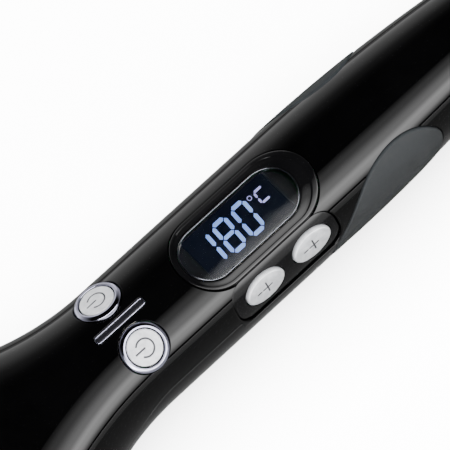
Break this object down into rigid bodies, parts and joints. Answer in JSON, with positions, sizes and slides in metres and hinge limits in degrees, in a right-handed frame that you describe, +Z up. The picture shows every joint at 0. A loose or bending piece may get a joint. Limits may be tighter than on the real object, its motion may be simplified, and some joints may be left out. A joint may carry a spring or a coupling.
{
  "type": "automatic curling iron",
  "caption": "Automatic curling iron: round handle with display, buttons and grip pads, flaring into an open two-armed head with a rotor round a fixed heated barrel.",
  "frame": {"origin": "under the middle of the whole, at the height of the flat on the underside of the head", "axes": "+X from the head to the tail along the handle, +Z up through the display, the plus and minus buttons on the -Y side"},
  "size_m": [0.3122, 0.086, 0.0606],
  "materials": {
    "gloss_black": "high gloss",
    "bezel_black": "gloss",
    "chamber_black": "satin, heat resistant",
    "barrel_ceramic": "smooth ceramic coat",
    "window_clear": "clear gloss",
    "screen": "dark blue display",
    "chrome_ring": "bright",
    "silver_button": "satin",
    "slate_grip": "matte",
    "smoked_lens": "clear gloss",
    "white_plastic": "natural",
    "circuit_green": "board varnish",
    "component_black": "moulded",
    "component_red": "dipped",
    "zinc_steel": "zinc plated",
    "spreader_aluminium": "drawn"
  },
  "bodies": {
    "body": {"top_cover": "gloss_black", "bottom_cover": "gloss_black", "side_band_left": "gloss_black", "side_band_right_front": "gloss_black", "side_band_right_rear": "gloss_black", "chamber_liner_left": "chamber_black", "chamber_liner_right": "chamber_black", "chamber_base": "chamber_black", "display_bezel": "bezel_black", "display_window": "window_clear", "display_module": "screen", "display_holder": "white_plastic", "button_panel": "bezel_black", "side_board": "circuit_green", "minus_switch": "component_black", "plus_switch": "component_black", "turn_ring_left": "chrome_ring", "turn_ring_right": "chrome_ring", "turn_switch_left": "component_black", "turn_switch_right": "component_black", "switch_carrier": "white_plastic", "light_lens": "smoked_lens", "light_led": "white_plastic", "grip_pad_left": "slate_grip", "grip_pad_right": "slate_grip", "control_board": "circuit_green", "beeper": "component_black", "power_board": "circuit_green", "capacitor": "component_red", "triac": "component_black", "motor_bracket": "zinc_steel", "gearbox": "zinc_steel", "motor": "zinc_steel", "motor_lead": "component_red", "heater_lead_left": "component_red", "heater_lead_right": "component_red", "rotor_bush": "white_plastic", "spindle": "zinc_steel", "barrel": "barrel_ceramic", "barrel_base": "white_plastic", "barrel_cap": "chamber_black", "heater_plate": "white_plastic", "heat_spreader_upper": "spreader_aluminium", "heat_spreader_lower": "spreader_aluminium", "thermistor": "white_plastic", "thermal_fuse": "zinc_steel", "tail_cap": "gloss_black", "swivel_retainer": "white_plastic", "screw_1": "zinc_steel", "screw_2": "zinc_steel", "screw_3": "zinc_steel", "screw_4": "zinc_steel"},
    "rotor": {"rotor": "chamber_black", "rotor_gear": "white_plastic"},
    "pinion": {"pinion": "white_plastic"},
    "cord_swivel": {"cord_swivel": "chamber_black"},
    "minus_button": {"minus_button": "silver_button"},
    "plus_button": {"plus_button": "silver_button"},
    "turn_button_left": {"turn_button_left": "silver_button"},
    "turn_button_right": {"turn_button_right": "silver_button"}
  },
  "joints": [
    {"name": "rotor_spin", "type": "hinge", "parent": "body", "child": "rotor", "pos_m": [-0.10115, 0, 0.0296], "axis": [1, 0, 0], "continuous": true},
    {"name": "pinion_spin", "type": "hinge", "parent": "body", "child": "pinion", "pos_m": [-0.09415, 0.01735, 0.0296], "axis": [1, 0, 0], "continuous": true},
    {"name": "cord_swivel_turn", "type": "hinge", "parent": "body", "child": "cord_swivel", "pos_m": [0.14885, 0, 0.0296], "axis": [1, 0, 0], "continuous": true},
    {"name": "minus_button_press", "type": "slide", "parent": "body", "child": "minus_button", "axis": [0, 0.9026, -0.4305], "range_m": [0, 0.0008], "stiffness_N_per_m": 1000, "springref_m": -0.0005},
    {"name": "plus_button_press", "type": "slide", "parent": "body", "child": "plus_button", "axis": [0, 0.9026, -0.4305], "range_m": [0, 0.0008], "stiffness_N_per_m": 1000, "springref_m": -0.0005},
    {"name": "turn_button_left_press", "type": "slide", "parent": "body", "child": "turn_button_left", "axis": [0, -0.4894, -0.8721], "range_m": [0, 0.0008], "stiffness_N_per_m": 1000, "springref_m": -0.0005},
    {"name": "turn_button_right_press", "type": "slide", "parent": "body", "child": "turn_button_right", "axis": [0, 0.4894, -0.8721], "range_m": [0, 0.0008], "stiffness_N_per_m": 1000, "springref_m": -0.0005}
  ],
  "couplings": [
    {"joint": "pinion_spin", "follows": "rotor_spin", "ratio": -2.4}
  ]
}
